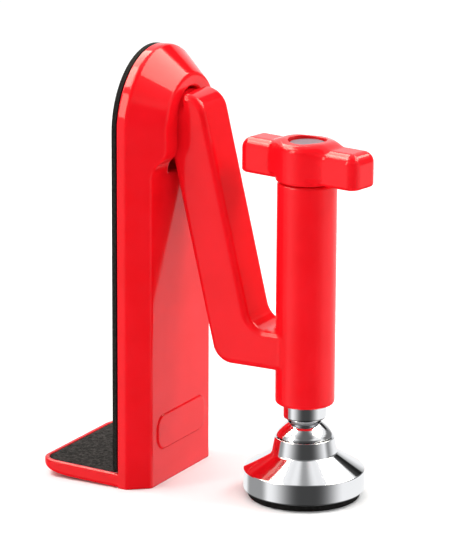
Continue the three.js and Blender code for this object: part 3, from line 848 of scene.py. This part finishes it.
SPIGOT_R = 8.4
SPIGOT_BOTTOM = 18.3
DOME_R = 9.35
DOME_BOTTOM = 20.6
DOME_SHOULDER = (8.9, 22.5)
DOME_TOP = (5.6, 25.25)
MOUTH = (5.4, 25.35)
SEAT_ARC = (46.1, -5.4)
CRISP = 0.1
seat = arc(SOCKET_R, BALL_Z, *SEAT_ARC, 6)
spigot = [(SPIGOT_R, SPIGOT_BOTTOM, CRISP), (SPIGOT_R, DOME_BOTTOM, CRISP), (DOME_R, DOME_BOTTOM, CRISP)]
dome = curved((DOME_R, DOME_BOTTOM + 0.15), DOME_SHOULDER, DOME_TOP, 8)
retainer = [*seat, *spigot, *dome, (*MOUTH, CRISP)]
make("socket_dome", turned(retainer, closed=True), "foot", "chrome", CHROME, "seat_retainer")

SOLE_POCKET_R = 18.8
SOLE_POCKET_Z = 4.9
RIM_Z = (2.4, 9.3)
RIM_ROUND = 0.5
WAIST = (10.9, 15.0)
CUP_TOP_R = 9.9
CUP_TOP_Z = 20.3
CUP_BORE_R = 8.7
CUP_FLOOR_Z = 18
CUP_SEAT_R = 7.43
SKIRT_Z = (9.2, 15.1)
SKIRT_LEAN = math.radians(6.5)
bowl = arc(SOCKET_R, BALL_Z, -7.66, -90, 12)
outside = [
    (0, SOLE_POCKET_Z, 0),
    (SOLE_POCKET_R, SOLE_POCKET_Z, 0.15),
    (SOLE_POCKET_R, RIM_Z[0], 0.12),
    (FOOT_R, RIM_Z[0], RIM_ROUND),
    (FOOT_R, RIM_Z[1], RIM_ROUND),
    (*WAIST, 0.7),
    (CUP_TOP_R, CUP_TOP_Z, 0.25),
    (CUP_BORE_R, CUP_TOP_Z, CRISP),
    (CUP_BORE_R, CUP_FLOOR_Z, CRISP),
    (CUP_SEAT_R, CUP_FLOOR_Z, CRISP),
]


SLANTED = 0.3


def hollowed(path, low, high, lean):
    """path with its normals between two heights turned outwards, as on a face that is a little hollow."""
    cos, sin = math.cos(lean), math.sin(lean)
    leaning = []
    for radius, height, out, up in path:
        if low < height < high and min(out, up) > SLANTED:
            out, up = out * cos + up * sin, up * cos - out * sin
        leaning.append((radius, height, out, up))
    return leaning


bell = rounded_path([*outside, *bowl[1:-1], (0, BALL_Z - SOCKET_R, 0)], False)
bell = spun(hollowed(bell, *SKIRT_Z, SKIRT_LEAN), False, 160)
make("foot_bell", bell, "foot", "chrome", CHROME, "foot_base")

SOLE_R = (9, 9.6, 18.5)
SOLE_DISH = 0.5
SOLE_TOP = 4.6
sole = [
    (0, SOLE_DISH, 0),
    (SOLE_R[0], SOLE_DISH, 0.2),
    (SOLE_R[1], 0, 0.2),
    (SOLE_R[2], 0, 0.6),
    (SOLE_R[2], SOLE_TOP, 0.3),
    (0, SOLE_TOP, 0),
]
make("foot_sole", turned(sole), "foot", "black_rubber", RUBBER, "foot_pad")


# ------------------------------------------------------------------ screws that show on the far side


SINE_60 = math.sin(math.radians(60))


def hexagon(u, v, half):
    first = np.abs(u)
    second = np.abs(0.5 * u + SINE_60 * v)
    third = np.abs(0.5 * u - SINE_60 * v)
    return np.maximum(np.maximum(first, second), third) - half


PLUG_R = 3.1
PLUG_Y = (15.2, 17.9)
PLUG_SOCKET = (1.3, 1.8)
KEY_R = 1.5
KEY_Y = (6.2, 9.3)
KEY_SOCKET = (0.7, 1.0)


def headless_screw(u, v, along, radius, stretch, edge, socket, socket_edge):
    """A screw with no head. Its stretch and its hexagon socket, (half width, depth), lie along one axis."""
    half, depth = socket
    shape = meet(np.hypot(u, v) - radius, slab(along, *stretch), edge)
    return carve(shape, meet(hexagon(u, v, half), stretch[1] - depth - along), socket_edge)


def plug_field(x, y, z):
    return headless_screw(x - PIVOT[0], z - PIVOT[1], y, PLUG_R, PLUG_Y, 0.35, PLUG_SOCKET, 0.08)


def key_field(x, y, z):
    return headless_screw(x - JACK_X, z - KEY_Z, y, KEY_R, KEY_Y, 0.2, KEY_SOCKET, 0.05)


PLUG_GRID = (ticks((6.2, 13.0, 0.17)), ticks((14.9, 18.2, 0.17)), ticks((117.6, 124.4, 0.17)))
make("pivot_plug", skin(plug_field, *PLUG_GRID), "stand", "steel", STEEL, "pin_plug_screw")

KEY_GRID = (
    ticks((JACK_X - 1.8, JACK_X + 1.8, 0.12)),
    ticks((5.9, 9.6, 0.15)),
    ticks((38.2, 41.8, 0.12)),
)
make("tube_key_screw", skin(key_field, *KEY_GRID), "arm", "steel", STEEL, "key_screw")


# ------------------------------------------------------------------ floor, light and camera


def direction(azimuth, elevation):
    """From the object outwards. Azimuth 0 is towards -Y, and 90 is towards +X."""
    a, e = math.radians(azimuth), math.radians(elevation)
    return Vector((math.sin(a) * math.cos(e), -math.cos(a) * math.cos(e), math.sin(e)))


CENTRE = Vector((DOOR_FACE_M + 0.02856, 0, 0.0726))
CAMERA_AZIMUTH, CAMERA_ELEVATION, CAMERA_ROLL = 28.3, 15.07, 0.27


FLOOR_HALF = 6.0


def floor():
    mesh = bpy.data.meshes.new("floor")
    corners = [(x * FLOOR_HALF, y * FLOOR_HALF, 0) for x, y in ((-1, -1), (1, -1), (1, 1), (-1, 1))]
    mesh.from_pydata(corners, [], [(0, 1, 2, 3)])
    material = shader("pale_floor", (0.93, 0.93, 0.93), 0.9)
    tint(material, grain(material, 3), (0.92, 0.92, 0.92), (0.94, 0.94, 0.94))
    mesh.materials.append(material)
    ground = bpy.data.objects.new("floor", mesh)
    ground.visible_glossy = False
    bpy.context.scene.collection.objects.link(ground)


def softbox(name, azimuth, elevation, width, height, radiance, glossy, colour=(1, 1, 1)):
    """A rectangular light a metre off, for the object's highlights if glossy and else for its shading."""
    data = bpy.data.lights.new(name, "AREA")
    data.shape = "RECTANGLE"
    data.size, data.size_y = width, height
    data.energy = radiance * math.pi * width * height
    data.color = colour
    light = bpy.data.objects.new(name, data)
    out = direction(azimuth, elevation)
    light.location = CENTRE + out
    light.rotation_mode = "QUATERNION"
    light.rotation_quaternion = out.to_track_quat("Z", "Y")
    light.visible_diffuse = not glossy
    light.visible_glossy = glossy
    bpy.context.scene.collection.objects.link(light)


class Studio:
    """The room's light as a world shader: white walls and ceiling with darker gaps between them."""

    def __init__(self):
        world = bpy.data.worlds.new("studio")
        world.use_nodes = True
        self.tree = world.node_tree
        self.shader = self.tree.nodes["Background"]
        self.shader.inputs["Color"].default_value = (1, 1, 1, 1)
        self.place = self.tree.nodes.new("ShaderNodeTexCoord").outputs["Generated"]
        parts = self.tree.nodes.new("ShaderNodeSeparateXYZ")
        self.tree.links.new(self.place, parts.inputs["Vector"])
        self.height = parts.outputs["Z"]
        level = self.tree.nodes.new("ShaderNodeVectorMath")
        level.operation = "MULTIPLY"
        level.inputs[1].default_value = (1, 1, 0)
        self.tree.links.new(self.place, level.inputs[0])
        unit = self.tree.nodes.new("ShaderNodeVectorMath")
        unit.operation = "NORMALIZE"
        self.tree.links.new(level.outputs[0], unit.inputs[0])
        self.heading = unit.outputs[0]
        bpy.context.scene.world = world

    def math(self, operation, *values):
        made = self.tree.nodes.new("ShaderNodeMath")
        made.operation = operation
        for socket, value in zip(made.inputs, values):
            if isinstance(value, (int, float)):
                socket.default_value = value
            else:
                self.tree.links.new(value, socket)
        return made.outputs[0]

    def rise(self, value, start, end):
        """0 before start and 1 after end, smooth between them."""
        made = self.tree.nodes.new("ShaderNodeMapRange")
        made.interpolation_type = "SMOOTHSTEP"
        made.inputs["From Min"].default_value = start
        made.inputs["From Max"].default_value = end
        self.tree.links.new(value, made.inputs["Value"])
        return made.outputs["Result"]

    def near(self, source, middle, inner, outer):
        """1 within inner degrees of middle, and 0 beyond outer."""
        toward = self.tree.nodes.new("ShaderNodeVectorMath")
        toward.operation = "DOT_PRODUCT"
        toward.inputs[1].default_value = middle
        self.tree.links.new(source, toward.inputs[0])
        low, high = (math.cos(math.radians(angle)) for angle in (outer, inner))
        return self.rise(toward.outputs["Value"], low, high)

    def sector(self, azimuth, inner, outer):
        return self.near(self.heading, direction(azimuth, 0), inner, outer)

    def spot(self, azimuth, elevation, inner, outer):
        return self.near(self.place, direction(azimuth, elevation), inner, outer)

    def dim(self, level, mask, share):
        """level, darkened by share where mask is 1."""
        return self.math("MULTIPLY", level, self.math("SUBTRACT", 1.0, self.math("MULTIPLY", mask, share)))

    def light(self, level):
        self.tree.links.new(level, self.shader.inputs["Strength"])


CARD = 7.4
KEY = 9.5
FRONT_KEY = 0.8
WARM = (1.0, 0.95, 0.79)

floor()
# name, azimuth, elevation, width and height in metres, radiance, highlights or shading, colour
softbox("back_key", 137, 48, 0.5, 0.4, KEY, False)
softbox("left_key", -60, 58, 0.5, 0.4, KEY, False)
softbox("front_key", 22, 38, 1.0, 0.8, FRONT_KEY, False)
softbox("left_card", -98, 49, 1.2, 0.5, CARD, True, WARM)
softbox("side_strip", -31, 27, 0.3, 0.52, CARD, True, WARM)
softbox("upper_strip", -62, 58, 0.55, 0.3, CARD, True, WARM)
softbox("back_card", 131, 50, 0.96, 0.5, CARD, True, WARM)

# Gaps: azimuth, then where a gap is full and where it ends, in degrees; or heights on the unit sphere.
studio = Studio()
front_gap = studio.sector(CAMERA_AZIMUTH + 6, 8, 75)
left_gap = studio.sector(CAMERA_AZIMUTH - 108, 16, 36)
far_gap = studio.sector(CAMERA_AZIMUTH + 118, 20, 45)
far_gap = studio.math("MULTIPLY", far_gap, studio.rise(studio.height, -0.16, -0.04))
below = studio.math("SUBTRACT", 1.0, studio.rise(studio.height, -0.48, -0.34))
walls = 1.0
for gap, share in ((front_gap, 0.94), (left_gap, 0.65), (far_gap, 0.8), (below, 0.85)):
    walls = studio.dim(walls, gap, share)
ceiling = studio.rise(studio.height, 0.36, 0.5)
ceiling = studio.dim(ceiling, studio.spot(CAMERA_AZIMUTH, 55, 22, 40), 0.92)
room = studio.math("ADD", walls, studio.math("MULTIPLY", ceiling, studio.math("SUBTRACT", 1.0, walls)))
studio.light(studio.dim(room, studio.spot(171, 26, 8, 12), 0.95))
bpy.context.scene.view_settings.view_transform = "Standard"

CAMERA_DISTANCE = 1.15045
LENS = 279.379
camera_data = bpy.data.cameras.new("camera")
camera_data.sensor_fit = "HORIZONTAL"
camera_data.sensor_width = 36
camera_data.lens = LENS
camera_data.clip_start, camera_data.clip_end = 0.01, 50
camera = bpy.data.objects.new("camera", camera_data)
back = direction(CAMERA_AZIMUTH, CAMERA_ELEVATION)
camera.location = CENTRE + back * CAMERA_DISTANCE
camera.rotation_mode = "QUATERNION"
roll = Quaternion((0, 0, 1), math.radians(CAMERA_ROLL))
camera.rotation_quaternion = (-back).to_track_quat("-Z", "Y") @ roll
bpy.context.scene.collection.objects.link(camera)
bpy.context.scene.camera = camera
